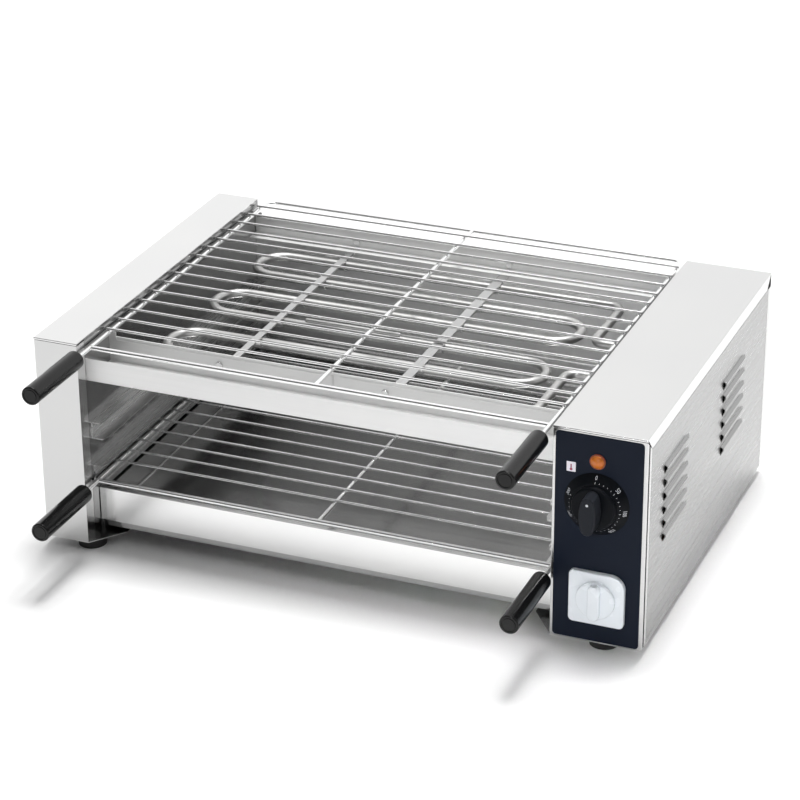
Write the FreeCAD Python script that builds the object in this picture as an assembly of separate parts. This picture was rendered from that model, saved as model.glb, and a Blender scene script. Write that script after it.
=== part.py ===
import FreeCAD, Part
import math
import os
from FreeCAD import Vector

# Electric skewer grill: two boxes of folded sheet joined by a front beam and a rear panel,
# an open heater between them, two wire racks with grips, and a drip tray that pulls out.
# Millimetres. While it is modelled, x runs right from the left box's outer face, y runs back
# from the front face and z runs up from the underside of the boxes.

# Driving dimensions of the cabinet
body_width = 660.0
body_depth = 440.0
body_height = 230.0
left_width = 50.0
right_width = 95.0
sheet = 1.0
seam = 0.6
running_gap = 0.3
seat_gap = 0.1
cover_hem = 2.0
cover_flange = 15.0
corner_radius = 2.0
fold_radius = 0.8
left_return = 16.0
right_return = 10.0
panel_edge = 4.5
panel_groove = 4.0
panel_groove_depth = 3.0
joint_return = 12.0
base_flange = 27.0
base_chamfer = 36.0

# Beam, rear panel, floor and rails
beam_drop = 23.0
beam_height = 25.0
beam_setback = 17.0
trough_width = 52.0
notch_width = 6.0
notch_depth = 14.0
rest_tab_width = 8.0
rest_tab_rise = 9.0
rear_panel_setback = 6.0
rail_setback = 22.0
rail_end_gap = 3.0
rail_top_width = 12.0
rail_foot_width = 15.0
rail_chamfer = 8.0
lower_rail_level = 62.0
lower_rail_height = 20.0
middle_rail_level = 113.0
middle_rail_height = 19.0
floor_level = 13.2
floor_setback = 34.0
floor_lip_inset = 5.0
floor_lip_height = 7.0

# Drip tray
tray_front_height = 38.0
tray_front_setback = 30.0
tray_side_gap = 0.8
tray_wall_inset = 2.0
tray_wall_height = 30.0
tray_rear_gap = 5.0
tray_lip = 6.0
tray_travel = 330.0

# Racks
rod_radius = 2.5
wire_radius = 1.4
weld_gap = 0.02
rod_inset = 4.8
upper_rack_right_gap = 5.2
wire_overhang = 3.0
front_wire_setback = 20.0
first_wire_setback = 62.0
wire_pitch = 26.65
rear_wire_gap = 15.0
rack_overhang = 20.0
lower_rack_rear_gap = 14.0
rack_bend = 12.0
grip_length = 96.0
grip_radius = 10.0
grip_gap = 10.0
grip_wall = 12.0
grip_edge = 1.6
grip_rear_edge = 3.4
cap_radius = 7.4
cap_groove = 0.8

# Heater
heater_radius = 5.0
heater_runs = 6
heater_pitch = 56.5
heater_left_gap = 64.0
heater_right_gap = 105.0
leg_gap = 57.0
leg_bend = 12.0
terminal_spread = 41.0
terminal_reach = 15.0
pin_radius = 2.0
pin_length = 16.0
gland_disc_radius = 9.0
gland_disc_thickness = 2.5
angle_drop = 15.0
angle_leg = 19.5
angle_screw_rise = 6.0
angle_width = 19.0
strap_thickness = 2.0
left_strap_offset = 127.0
left_strap_width = 8.0
right_strap_offset = 312.0
right_strap_width = 11.0
clip_wall = 1.2
clip_width = 7.0
sensor_offset = 33.0
sensor_lift = 1.5
bulb_radius = 2.5
bulb_start = 158.0
bulb_length = 110.0
capillary_radius = 1.2

# Control panel
overlay_thickness = 0.5
overlay_margin = 3.0
overlay_radius = 4.0
dial_offset = 46.0
dial_drop = 76.0
lamp_drop = 30.5
selector_offset = 49.0
selector_level = 51.5
shaft_radius = 3.0
shaft_clearance = 0.05
collar_radius = 5.0
collar_clearance = 0.1
skirt_radius = 33.0
skirt_front_radius = 24.5
skirt_depth = 8.5
skirt_wall = 2.0
boss_radius = 22.8
boss_depth = 12.5
bar_width = 17.0
bar_length = 40.0
knob_depth = 31.0
boss_round = 3.0
bar_end_radius = 6.5
bar_round = 1.5
plate_width = 57.0
plate_height = 57.0
plate_thickness = 5.0
plate_radius = 5.0
plate_big_radius = 15.0
selector_radius = 20.0
selector_rim = 4.0
selector_bar_width = 12.0
selector_depth = 10.0
lens_radius = 7.0
lens_flange_radius = 8.0
lens_flange = 1.4
lens_depth = 4.6

# Side louvres
louvre_rise = 3.2
louvre_height = 13.4
louvre_length = 78.0
louvre_pitch = 15.0
louvre_count = 6
louvre_level = 96.0
louvre_front_setback = 60.0
louvre_rear_setback = 264.0
louvre_end = 7.0
louvre_crest_low = 0.62
louvre_crest_high = 0.78
louvre_tip = 0.4

# Pieces inside the control box and under it
thermostat_size = 38.0
thermostat_depth = 31.0
switch_size = 44.0
switch_depth = 35.0
lamp_body_length = 25.0
nut_across = 14.0
nut_thickness = 2.3
block_length = 46.0
block_width = 20.0
block_height = 22.0
block_setback = 60.0
cable_radius = 1.4
cable_bend = 8.0
gland_level = 40.0
gland_bore_radius = 4.5
gland_thread_radius = 8.0
gland_flange_radius = 11.5
gland_flange = 5.0
gland_nose_radius = 10.0
gland_nose = 9.0
gland_inside = 9.0
foot_height = 10.0
foot_radius = 16.5
foot_taper = 1.5
foot_inset = 44.0
foot_setback = 20.0
screw_radius = 2.0
screw_head_radius = 4.0
screw_head = 1.8
screw_clearance = 0.1
screw_length = 6.0
washer_nut_across = 7.0
washer_nut = 3.2

# Places worked out from the dimensions above
inner_left = left_width
inner_right = body_width - right_width
middle_x = (inner_left + inner_right) / 2
beam_top = body_height - beam_drop
beam_bottom = beam_top - beam_height
beam_back = beam_setback + sheet + trough_width
rear_panel_y = body_depth - rear_panel_setback - sheet
heater_middle_y = (beam_back + sheet + rear_panel_y) / 2
shelf_level = beam_top - angle_drop
strap_top = shelf_level - sheet
strap_bottom = strap_top - strap_thickness
heater_level = strap_bottom - seat_gap - heater_radius
upper_rod_level = beam_top + rest_tab_rise + running_gap + rod_radius
lower_rod_level = lower_rail_level + sheet + running_gap + rod_radius
left_rod_x = inner_left + rod_inset
right_rod_x = inner_right - rod_inset
upper_right_rod_x = right_rod_x - upper_rack_right_gap
upper_rack_rear = body_depth + rack_overhang
lower_rack_rear = rear_panel_y - lower_rack_rear_gap + rod_radius
floor_top = floor_level + sheet
tray_bottom = floor_top + running_gap
dial_x = inner_right + dial_offset
dial_level = body_height - dial_drop
lamp_level = body_height - lamp_drop
selector_x = inner_right + selector_offset
overlay_front = -overlay_thickness
strap_places = (
    (inner_left + left_strap_offset, left_strap_width),
    (inner_left + right_strap_offset, right_strap_width),
)
terminal_ys = (heater_middle_y - terminal_spread, heater_middle_y + terminal_spread)
sensor_y = heater_middle_y - sensor_offset
sensor_level = strap_top + sensor_lift

# The finished origin lies on the floor, in the middle of everything the grill reaches
reach_front = -(grip_gap + grip_length)
reach_rear = upper_rack_rear + rod_radius
origin_x = (body_width + louvre_rise) / 2
origin_y = (reach_front + reach_rear) / 2
ORIGIN_SHIFT = Vector(-origin_x, -origin_y, foot_height)

RIGHT = Vector(1, 0, 0)
BACK = Vector(0, 1, 0)
UP = Vector(0, 0, 1)

pieces = {}


# Shape helpers

def box(x0, x1, y0, y1, z0, z1):
    """A block between two corners."""
    return Part.makeBox(x1 - x0, y1 - y0, z1 - z0, Vector(x0, y0, z0))


def rod(start, end, radius):
    """A round bar from one point to another."""
    run = end.sub(start)
    return Part.makeCylinder(radius, run.Length, start, run)


def cone(start, end, start_radius, end_radius):
    """A cone or a straight bar between two centres."""
    run = end.sub(start)
    if abs(start_radius - end_radius) < 1e-6:
        return rod(start, end, start_radius)
    return Part.makeCone(start_radius, end_radius, run.Length, start, run)


def prism(points, direction):
    """A polygon through the points, drawn out along a direction."""
    outline = Part.makePolygon(points + [points[0]])
    return Part.Face(outline).extrude(direction)


def fused(shapes):
    """Several overlapping or touching shapes as one."""
    first = shapes[0]
    if len(shapes) == 1:
        return first
    return first.multiFuse(shapes[1:]).removeSplitter()


def group(shapes):
    """Separate solids kept together in one node."""
    return Part.Compound(shapes)


def rounded(shape, radius, picks):
    """Rounds the straight edges whose middle point passes the test."""
    edges = [edge for edge in shape.Edges if picks(edge)]
    return shape.makeFillet(radius, edges)


def edge_runs_along(edge, direction):
    """Says whether a straight edge runs along a direction."""
    if len(edge.Vertexes) != 2 or edge.Curve.TypeId != "Part::GeomLine":
        return False
    run = edge.Vertexes[1].Point.sub(edge.Vertexes[0].Point)
    return abs(abs(run.dot(direction)) - run.Length) < 1e-6


def bent_line(points, bend):
    """A wire through the points whose corners are tangent arcs of one radius."""
    edges = []
    start = points[0]
    for before, corner, after in zip(points, points[1:], points[2:]):
        arriving = corner.sub(before).normalize()
        leaving = after.sub(corner).normalize()
        turn = arriving.getAngle(leaving)
        setback = bend * math.tan(turn / 2)
        arc_start = corner.sub(arriving * setback)
        arc_end = corner.add(leaving * setback)
        inward = leaving.sub(arriving).normalize()
        centre = corner.add(inward * (bend / math.cos(turn / 2)))
        arc_middle = centre.sub(inward * bend)
        if arc_start.sub(start).Length > 1e-4:
            edges.append(Part.LineSegment(start, arc_start).toShape())
        edges.append(Part.Arc(arc_start, arc_middle, arc_end).toShape())
        start = arc_end
    edges.append(Part.LineSegment(start, points[-1]).toShape())
    return Part.Wire(edges)


def tube(points, radius, bend):
    """A round bar bent through the points."""
    path = bent_line(points, bend)
    run = points[1].sub(points[0])
    section = Part.Wire([Part.makeCircle(radius, points[0], run)])
    return path.makePipeShell([section], True, False)


def hex_ring(centre, direction, across, thickness, bore):
    """A nut: a hexagonal ring that starts at a centre and runs along a direction."""
    side = RIGHT if abs(direction.x) < 0.5 else UP
    other = direction.cross(side)
    corners = []
    for step in range(6):
        angle = math.radians(60 * step)
        spoke = side * math.cos(angle) + other * math.sin(angle)
        corners.append(centre.add(spoke * (across / math.sqrt(3))))
    blank = prism(corners, direction * thickness)
    return blank.cut(rod(centre, centre.add(direction * thickness), bore))


def screw(face_point, inward):
    """A pan head screw whose head sits on a face and whose shank goes inward."""
    head = rod(face_point, face_point.sub(inward * screw_head), screw_head_radius)
    rim = [edge for edge in head.Edges if len(edge.Vertexes) == 1]
    outer = max(rim, key=lambda edge: edge.CenterOfMass.sub(face_point).Length)
    head = head.makeFillet(screw_head * 0.45, [outer])
    shank = rod(face_point, face_point.add(inward * screw_length), screw_radius)
    return head.fuse(shank).removeSplitter()


def screw_hole(face_point, inward):
    """The hole that a screw's shank passes through."""
    start = face_point.sub(inward * screw_head)
    end = face_point.add(inward * screw_length)
    return rod(start, end, screw_radius + screw_clearance)


# Places of the screws, each a point on the face that its head sits on

def angle_screw_points(face_y):
    """Points on the front or rear plate where a shelf angle is screwed on."""
    level = shelf_level + angle_screw_rise
    return [Vector(x, face_y, level) for x, width in strap_places]


def back_screw_points():
    """Points on the outside of the control box's back."""
    columns = (inner_right + sheet + joint_return / 2, body_width - sheet - joint_return / 2)
    rows = (joint_return * 2, body_height - cover_flange - joint_return * 2)
    return [Vector(x, body_depth, z) for x in columns for z in rows]


def foot_points():
    """Centres of the four feet on the underside."""
    columns = (foot_inset, body_width - foot_inset)
    rows = (foot_setback, body_depth - foot_setback)
    return [Vector(x, y, 0) for x in columns for y in rows]


# Left box

def left_shell():
    """Front, outer side and back of the left box, folded from one sheet."""
    top = body_height - cover_hem - seam
    outer = box(0, left_width, 0, body_depth, sheet, top)
    outer = rounded(outer, corner_radius, lambda edge: edge_runs_along(edge, UP)
                    and edge.CenterOfMass.x < left_width / 2)
    hollow = box(sheet, left_width, sheet, body_depth - sheet, sheet, top)
    wrap = outer.cut(hollow)
    side_slot = box(0, sheet + corner_radius, cover_hem, body_depth - cover_hem,
                    body_height - cover_flange - seam, top)
    front_return = box(left_width - sheet, left_width, sheet, left_return, sheet, top)
    return fused([wrap.cut(side_slot), front_return])


def left_wall():
    """Wall of the left box that faces the racks."""
    return box(inner_left - sheet, inner_left, left_return + seam, body_depth - sheet,
               sheet, body_height - sheet)


def top_cover(x0, x1, flange_x):
    """Lid of a side box, with a flange down its outer side and a hem at each end."""
    lid = box(x0, x1, 0, body_depth, body_height - sheet, body_height)
    front_hem = box(x0, x1, 0, sheet, body_height - cover_hem, body_height)
    back_hem = box(x0, x1, body_depth - sheet, body_depth, body_height - cover_hem, body_height)
    low = body_height - cover_flange
    flange = prism([
        Vector(flange_x, cover_hem, body_height - sheet),
        Vector(flange_x, cover_flange, low),
        Vector(flange_x, body_depth - cover_flange, low),
        Vector(flange_x, body_depth - cover_hem, body_height - sheet),
    ], RIGHT * sheet)
    cover = fused([lid, front_hem, back_hem, flange])

    def is_fold(edge):
        if edge.BoundBox.ZMin < body_height - 0.1:
            return False
        side = edge_runs_along(edge, BACK) and abs(edge.CenterOfMass.x - fold_x) < 0.1
        return side or edge_runs_along(edge, RIGHT)

    fold_x = x0 if flange_x < (x0 + x1) / 2 else x1
    return rounded(cover, fold_radius, is_fold)


def base_plate(x0, x1, inward):
    """Bottom of a side box, with a flange towards the middle that carries the floor."""
    edge_x = x1 if inward > 0 else x0
    tip_x = edge_x + inward * base_flange
    far_x = x0 if inward > 0 else x1
    outline = [
        Vector(far_x, 0, 0),
        Vector(edge_x, 0, 0),
        Vector(tip_x, base_chamfer, 0),
        Vector(tip_x, body_depth - base_chamfer, 0),
        Vector(edge_x, body_depth, 0),
        Vector(far_x, body_depth, 0),
    ]
    plate = prism(outline, UP * sheet)
    for point in foot_points():
        plate = plate.cut(screw_hole(point, UP))
    return plate


# Right box

def panel_hole(x, z, radius):
    """A hole through the control panel, its overlay and anything on them."""
    return rod(Vector(x, -plate_thickness * 3, z), Vector(x, plate_thickness * 3, z), radius)


def control_holes(shape):
    """Cuts the dial's, selector's and lamp's holes through a panel."""
    radius = collar_radius + collar_clearance
    for x, z in ((dial_x, dial_level), (selector_x, selector_level), (dial_x, lamp_level)):
        shape = shape.cut(panel_hole(x, z, radius))
    return shape


def control_panel():
    """Steel front of the control box, with a return down each side and a groove in the outer one."""
    top = body_height - cover_hem - seam
    front = box(inner_right, body_width, 0, sheet, sheet, top)
    inner_return = box(inner_right, inner_right + sheet, 0, left_return, sheet, top)
    return_top = body_height - cover_flange - seam
    outer_return = prism([
        Vector(body_width - sheet, 0, sheet),
        Vector(body_width - sheet, cover_flange, sheet),
        Vector(body_width - sheet, cover_flange, return_top),
        Vector(body_width - sheet, 0, return_top + cover_flange - cover_hem),
    ], RIGHT * sheet)
    groove_start = panel_edge
    groove_end = panel_edge + panel_groove
    groove_x = body_width - panel_groove_depth
    outer_return = outer_return.cut(box(body_width - sheet, body_width, groove_start, groove_end,
                                        sheet, top))
    channel = box(groove_x - sheet, body_width, groove_start - sheet, groove_end + sheet,
                  sheet, return_top)
    channel = channel.cut(box(groove_x, body_width, groove_start, groove_end, sheet, return_top))
    folded = fused([front, inner_return, outer_return, channel])
    folded = rounded(folded, fold_radius, lambda edge: edge_runs_along(edge, UP)
                     and edge.BoundBox.YMax < 0.1)
    return control_holes(folded)


def control_overlay():
    """Dark plate stuck on the control panel."""
    plate = box(inner_right + overlay_margin, body_width - overlay_margin, overlay_front, 0,
                overlay_margin / 2, body_height - overlay_margin - cover_hem / 2)
    plate = rounded(plate, overlay_radius, lambda edge: edge_runs_along(edge, BACK))
    return control_holes(plate)


def control_wall():
    """Wall of the control box that faces the racks, with the heater's holes."""
    top = body_height - sheet
    wall = box(inner_right, inner_right + sheet, left_return + seam, body_depth - sheet, sheet, top)
    back_return = box(inner_right, inner_right + joint_return, body_depth - 2 * sheet,
                      body_depth - sheet, sheet, top - cover_hem)
    wall = fused([wall, back_return])
    for y in terminal_ys:
        start = Vector(inner_right - sheet, y, heater_level)
        wall = wall.cut(rod(start, start.add(RIGHT * 3 * sheet), heater_radius + screw_clearance))
    start = Vector(inner_right - sheet, sensor_y, sensor_level)
    wall = wall.cut(rod(start, start.add(RIGHT * 3 * sheet), capillary_radius + screw_clearance))
    for point in back_screw_points():
        wall = wall.cut(screw_hole(point, BACK * -1))
    return wall


def louvre(front_y, low):
    """One pressed louvre: a long hood that is open in front and closed round at the back."""
    def section(y, rise, trim):
        base_x = body_width - sheet
        bottom = Vector(base_x, y, low + trim)
        low_crest = Vector(body_width + rise, y, low + louvre_height * louvre_crest_low)
        high_crest = Vector(body_width + rise, y, low + louvre_height * louvre_crest_high)
        top = Vector(base_x, y, low + louvre_height - trim)
        return Part.makePolygon([bottom, low_crest, high_crest, top, bottom])

    def drawn(y, rise, trim, length):
        return Part.Face(section(y, rise, trim)).extrude(BACK * length)

    straight = louvre_length - louvre_end
    shoulder_y = front_y + straight
    rear_y = front_y + louvre_length
    end_trim = louvre_height / 4
    hood = drawn(front_y, louvre_rise, 0, straight).fuse(
        Part.makeLoft([section(shoulder_y, louvre_rise, 0),
                       section(rear_y, louvre_tip, end_trim)], True, True))
    hollow = drawn(front_y - sheet, louvre_rise - sheet, sheet, straight).fuse(
        Part.makeLoft([section(shoulder_y - sheet, louvre_rise - sheet, sheet),
                       section(rear_y - sheet, louvre_tip - sheet, end_trim + sheet / 2)],
                      True, True))
    return hood, hollow


def side_panel():
    """Outer side of the control box with two groups of louvres."""
    top = body_height - cover_flange - seam
    panel = box(body_width - sheet, body_width, cover_flange + seam,
                body_depth - right_return - seam, sheet, top)
    low_x = body_width - sheet - joint_return
    back_return = box(low_x, body_width - sheet, body_depth - 2 * sheet,
                      body_depth - sheet, sheet, top)
    return_web = box(body_width - 2 * sheet, body_width - sheet,
                     body_depth - right_return - 2 * sheet, body_depth - sheet, sheet, top)
    hoods = []
    hollows = []
    for front_y in (louvre_front_setback, louvre_rear_setback):
        for step in range(louvre_count):
            hood, hollow = louvre(front_y, louvre_level + step * louvre_pitch - louvre_height / 2)
            hoods.append(hood)
            hollows.append(hollow)
    panel = fused([panel, back_return, return_web] + hoods)
    for hollow in hollows:
        panel = panel.cut(hollow)
    for point in back_screw_points():
        panel = panel.cut(screw_hole(point, BACK * -1))
    return panel


def back_cover():
    """Back of the control box, with a return round its outer side."""
    top = body_height - cover_hem - seam
    back = box(inner_right, body_width, body_depth - sheet, body_depth, sheet, top)
    side_return = box(body_width - sheet, body_width, body_depth - right_return, body_depth,
                      sheet, body_height - cover_flange - seam)
    back = fused([back, side_return])
    for point in back_screw_points():
        back = back.cut(screw_hole(point, BACK * -1))
    start = Vector(dial_x, body_depth - 2 * sheet, gland_level)
    return back.cut(rod(start, start.add(BACK * 3 * sheet), gland_thread_radius + screw_clearance))


# Middle of the cabinet

def rest_tab(x0, x1, y):
    """A tab that stands up from a plate's top edge and carries a rack's rod."""
    return box(x0, x1, y, y + sheet, beam_top - sheet, beam_top + rest_tab_rise)


def plate_features(plate, y):
    """Adds the rack's rests to a plate across the cabinet and cuts its middle notch."""
    left_tab = rest_tab(inner_left, inner_left + rest_tab_width, y)
    right_tab = rest_tab(inner_right - rest_tab_width - upper_rack_right_gap, inner_right, y)
    plate = fused([plate, left_tab, right_tab])
    notch = box(middle_x - notch_width / 2, middle_x + notch_width / 2, y - sheet, y + 2 * sheet,
                beam_top - notch_depth, beam_top + sheet)
    return plate.cut(notch)


def front_beam():
    """Trough across the front: a face, a floor and a back plate folded from one sheet."""
    face = box(inner_left, inner_right, beam_setback, beam_setback + sheet, beam_bottom, beam_top)
    floor = box(inner_left, inner_right, beam_setback, beam_back + sheet,
                beam_bottom, beam_bottom + sheet)
    back = box(inner_left, inner_right, beam_back, beam_back + sheet, beam_bottom, beam_top)
    back = plate_features(back, beam_back)
    trough = fused([face, floor, back])
    for point in angle_screw_points(beam_back):
        trough = trough.cut(screw_hole(point, BACK))
    return rounded(trough, sheet * 0.9, lambda edge: edge_runs_along(edge, RIGHT)
                   and edge.BoundBox.ZMax < beam_bottom + 0.1
                   and edge.BoundBox.YMax < beam_setback + 0.1)


def rear_panel():
    """Panel across the back, from the base flanges to the rack."""
    panel = box(inner_left, inner_right, rear_panel_y, rear_panel_y + sheet, sheet, beam_top)
    panel = plate_features(panel, rear_panel_y)
    for point in angle_screw_points(rear_panel_y + sheet):
        panel = panel.cut(screw_hole(point, BACK * -1))
    return panel


def shelf_angle(plate_y, inward):
    """Angle screwed to a plate: a leg on the plate and a shelf that lies on the heater's straps.

    The leg and the shelf are two solids that meet at the bend, because a single one would
    close the window over the heater where its outer form is taken.
    """
    near = plate_y
    far = plate_y + inward * angle_width
    thick = plate_y + inward * sheet
    leg = box(inner_left + seam, inner_right - seam, min(near, thick), max(near, thick),
              shelf_level - sheet, shelf_level - sheet + angle_leg)
    shelf = box(inner_left + seam, inner_right - seam, min(thick, far), max(thick, far),
                shelf_level - sheet, shelf_level)
    for point in angle_screw_points(plate_y):
        leg = leg.cut(screw_hole(point.sub(BACK * (inward * sheet)), BACK * inward))
    return group([leg, shelf])


def pan_head_screws():
    """Screws that hold both shelf angles and the back cover."""
    screws = []
    for point in angle_screw_points(beam_back):
        screws.append(screw(point, BACK))
    for point in angle_screw_points(rear_panel_y - sheet):
        screws.append(screw(point, BACK))
    for point in back_screw_points():
        screws.append(screw(point, BACK * -1))
    return group(screws)


def rail(wall_x, inward, level, height):
    """Channel on a side wall that a rack's rod slides in."""
    end_y = rear_panel_y - rail_end_gap

    def flange(width, z):
        tip = wall_x + inward * width
        return prism([
            Vector(wall_x, rail_setback, z),
            Vector(tip - inward * rail_chamfer * 0.4, rail_setback, z),
            Vector(tip, rail_setback + rail_chamfer, z),
            Vector(tip, end_y, z),
            Vector(wall_x, end_y, z),
        ], UP * sheet)

    web_far = wall_x + inward * sheet
    web = box(min(wall_x, web_far), max(wall_x, web_far), rail_setback, end_y,
              level, level + height)
    return fused([web, flange(rail_foot_width, level), flange(rail_top_width, level + height - sheet)])


def floor_panel():
    """Floor that the drip tray slides on, on two folded legs, with a lip at the front."""
    x0 = inner_left + seam
    x1 = inner_right - seam
    end_y = rear_panel_y - seam
    top = box(x0, x1, floor_setback, end_y, floor_level, floor_top)
    legs = [box(x0, x0 + sheet, floor_setback, end_y, sheet, floor_top),
            box(x1 - sheet, x1, floor_setback, end_y, sheet, floor_top)]
    lip = box(x0 + floor_lip_inset, x1 - floor_lip_inset, floor_setback, floor_setback + sheet,
              floor_top - floor_lip_height - sheet, floor_top)
    lip = rounded(lip, sheet * 2, lambda edge: edge_runs_along(edge, BACK)
                  and edge.CenterOfMass.z < floor_level)
    return fused([top] + legs + [lip])


# Heater

def heating_element():
    """One bent tube: runs across the cabinet joined by half turns, and two legs to the box."""
    half = heater_pitch / 2
    left_x = inner_left + heater_left_gap
    right_x = inner_right - heater_right_gap
    leg_x = inner_right - leg_gap
    end_x = inner_right + sheet + terminal_reach
    first_y = heater_middle_y - half * (heater_runs - 1)
    run_ys = [first_y + heater_pitch * step for step in range(heater_runs)]

    def at(x, y):
        return Vector(x, y, heater_level)

    def corner(x, y, across, along):
        """Arc of a quarter turn from the run's direction to the leg's."""
        start = at(x - across * leg_bend, y)
        end = at(x, y + along * leg_bend)
        centre = at(x - across * leg_bend, y + along * leg_bend)
        spoke = Vector(across, -along, 0).normalize()
        return start, centre.add(spoke * leg_bend), end

    edges = []
    box_point = at(end_x, terminal_ys[0])
    start, middle, end = corner(leg_x, terminal_ys[0], -1, -1)
    edges.append(Part.LineSegment(box_point, start).toShape())
    edges.append(Part.Arc(start, middle, end).toShape())
    run_start, run_middle, run_end = corner(leg_x, run_ys[0], 1, 1)
    edges.append(Part.LineSegment(end, run_end).toShape())
    edges.append(Part.Arc(run_end, run_middle, run_start).toShape())
    place = run_start
    for step in range(heater_runs - 1):
        goes_left = step % 2 == 0
        turn_x = left_x if goes_left else right_x
        outward = -1 if goes_left else 1
        turn_start = at(turn_x, run_ys[step])
        turn_middle = at(turn_x + outward * half, run_ys[step] + half)
        turn_end = at(turn_x, run_ys[step + 1])
        edges.append(Part.LineSegment(place, turn_start).toShape())
        edges.append(Part.Arc(turn_start, turn_middle, turn_end).toShape())
        place = turn_end
    run_start, run_middle, run_end = corner(leg_x, run_ys[-1], 1, -1)
    edges.append(Part.LineSegment(place, run_start).toShape())
    edges.append(Part.Arc(run_start, run_middle, run_end).toShape())
    start, middle, end = corner(leg_x, terminal_ys[1], -1, 1)
    edges.append(Part.LineSegment(run_end, end).toShape())
    edges.append(Part.Arc(end, middle, start).toShape())
    edges.append(Part.LineSegment(start, at(end_x, terminal_ys[1])).toShape())
    section = Part.Wire([Part.makeCircle(heater_radius, box_point, RIGHT)])
    return Part.Wire(edges).makePipeShell([section], True, False)


def run_places():
    """Depths of the heater's straight runs."""
    first_y = heater_middle_y - heater_pitch / 2 * (heater_runs - 1)
    return [first_y + heater_pitch * step for step in range(heater_runs)]


def strap(x, width):
    """Flat bar under both shelves, from which the heater hangs."""
    return box(x - width / 2, x + width / 2, beam_back + sheet + seam, rear_panel_y - seam,
               strap_bottom, strap_top)


def heater_clips():
    """Saddles under the straps that hold each run of the heater."""
    clips = []
    inside = heater_radius + seat_gap
    outside = inside + clip_wall
    for x, width in strap_places:
        for y in run_places():
            start = Vector(x - clip_width / 2, y, heater_level)
            end = start.add(RIGHT * clip_width)
            outer = fused([rod(start, end, outside),
                           box(start.x, end.x, y - outside, y + outside, heater_level, strap_bottom)])
            inner = fused([rod(start, end, inside),
                           box(start.x, end.x, y - inside, y + inside, heater_level, strap_bottom)])
            above = box(start.x, end.x, y - outside, y + outside,
                        strap_bottom, strap_bottom + outside)
            clips.append(outer.cut(inner).cut(above))
    return group(clips)


def heater_glands():
    """A disc and a nut on each leg, one on each side of the control box's wall."""
    rings = []
    for y in terminal_ys:
        inside = Vector(inner_right + sheet, y, heater_level)
        outside = Vector(inner_right, y, heater_level)
        disc = rod(outside, outside.sub(RIGHT * gland_disc_thickness), gland_disc_radius)
        disc = disc.cut(rod(outside, outside.sub(RIGHT * gland_disc_thickness), heater_radius))
        rings.append(disc)
        rings.append(hex_ring(inside, RIGHT, gland_disc_radius * 1.8, 4 * sheet, heater_radius))
    return group(rings)


def heater_pins():
    """Contact pins at the ends of the heater, inside the control box."""
    pins = []
    for y in terminal_ys:
        start = Vector(inner_right + sheet + terminal_reach, y, heater_level)
        pins.append(rod(start, start.add(RIGHT * pin_length), pin_radius))
    return group(pins)


def heater_insulators():
    """Ceramic collars round the contact pins."""
    collars = []
    for y in terminal_ys:
        start = Vector(inner_right + sheet + terminal_reach, y, heater_level)
        end = start.add(RIGHT * pin_length / 2)
        collars.append(rod(start, end, heater_radius * 0.9).cut(rod(start, end, pin_radius)))
    return group(collars)


def sensor_bulb():
    """Thermostat bulb that lies over the heater."""
    start = Vector(inner_left + bulb_start, sensor_y, sensor_level)
    bulb = rod(start, start.add(RIGHT * bulb_length), bulb_radius)
    ends = [edge for edge in bulb.Edges if edge.Curve.TypeId == "Part::GeomCircle"]
    return bulb.makeFillet(bulb_radius * 0.6, ends)


def capillary():
    """Thin tube from the bulb through the wall to the thermostat."""
    end_x = inner_right + sheet + terminal_reach / 2
    start = Vector(inner_left + bulb_start + bulb_length, sensor_y, sensor_level)
    return tube([
        start,
        Vector(end_x, sensor_y, sensor_level),
        Vector(end_x, sensor_y, dial_level),
        Vector(end_x, thermostat_depth / 2 + sheet, dial_level),
        Vector(dial_x - thermostat_size / 2, thermostat_depth / 2 + sheet, dial_level),
    ], capillary_radius, leg_bend / 2)


# Racks

def rack_frame(rod_level, rear_y, right_x):
    """Frame of a rack: one bent rod, a bar across its front and one down its middle."""
    rod_front = reach_front + grip_wall

    def at(x, y):
        return Vector(x, y, rod_level)

    frame = tube([
        at(left_rod_x, rod_front),
        at(left_rod_x, rear_y),
        at(right_x, rear_y),
        at(right_x, rod_front),
    ], rod_radius, rack_bend)
    front_bar = rod(at(left_rod_x, front_wire_setback), at(right_x, front_wire_setback),
                    rod_radius)
    middle_bar = rod(at(middle_x, front_wire_setback), at(middle_x, rear_y), rod_radius)
    return fused([frame, front_bar, middle_bar])


def rack_wires(rod_level, rear_y, right_x):
    """Thin wires that are welded across the top of a rack's frame."""
    wire_level = rod_level + rod_radius + weld_gap + wire_radius
    count = int((rear_y - rear_wire_gap - first_wire_setback) / wire_pitch) + 1
    wires = []
    for step in range(count):
        y = first_wire_setback + step * wire_pitch
        wires.append(rod(Vector(left_rod_x - wire_overhang, y, wire_level),
                         Vector(right_x + wire_overhang, y, wire_level), wire_radius))
    return group(wires)


def grip(rod_x, rod_level):
    """Moulded handle on the front end of a rack's rod."""
    front = Vector(rod_x, reach_front, rod_level)
    rear = Vector(rod_x, -grip_gap, rod_level)
    body = rod(front, rear, grip_radius)
    ends = [edge for edge in body.Edges if edge.Curve.TypeId == "Part::GeomCircle"]
    body = body.makeFillet(grip_edge, [edge for edge in ends if edge.BoundBox.YMax < 0 - grip_length])
    body = body.makeFillet(grip_rear_edge, [edge for edge in body.Edges
                                            if edge.BoundBox.YMin > -grip_gap - 0.1])
    inward = front.add(BACK * cap_groove)
    groove = rod(front, inward, cap_radius).cut(rod(front, inward, cap_radius - cap_groove))
    bore = rod(front.add(BACK * grip_wall), rear, rod_radius)
    return body.cut(groove).cut(bore)


# Drip tray

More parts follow.
